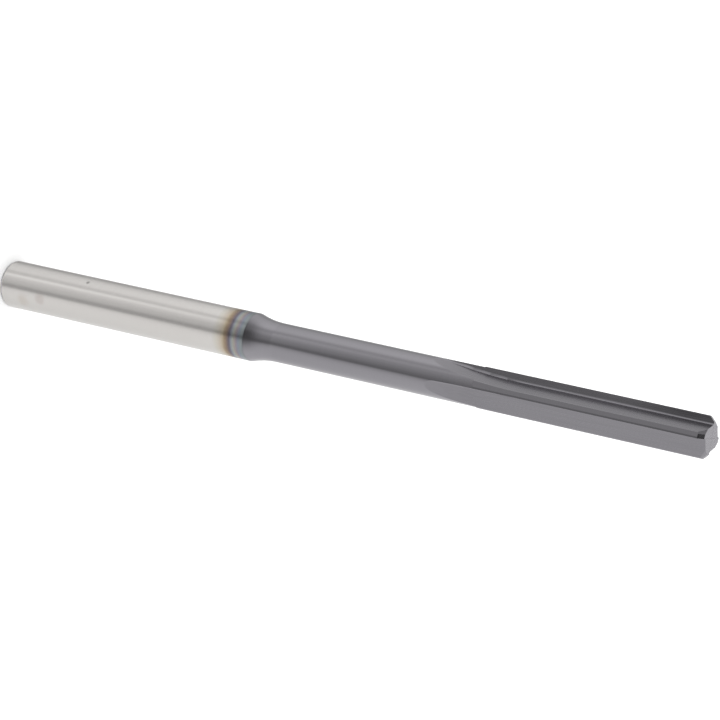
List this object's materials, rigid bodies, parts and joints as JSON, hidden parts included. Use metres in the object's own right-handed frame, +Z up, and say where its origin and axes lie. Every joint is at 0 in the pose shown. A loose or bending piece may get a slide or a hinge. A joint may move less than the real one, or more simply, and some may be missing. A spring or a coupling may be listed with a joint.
{
  "type": "machine reamer",
  "caption": "Slim round rotary cutting tool with a plain shank, a thinner neck and straight flutes that finish a drilled hole to size.",
  "frame": {"origin": "centre of the shank's rear end face", "axes": "+Z up along the axis, from the shank's rear end that the tool stands on to the cutting tip; one cutting edge points to -Y"},
  "size_m": [0.006, 0.006, 0.1],
  "materials": {
    "ground_carbide": "fine ground; bare and silvery on the shank, dark grey coating on the neck and flutes, with tempering colours where the coating ends"
  },
  "bodies": {
    "root": {"reamer": "ground_carbide"}
  },
  "joints": []
}
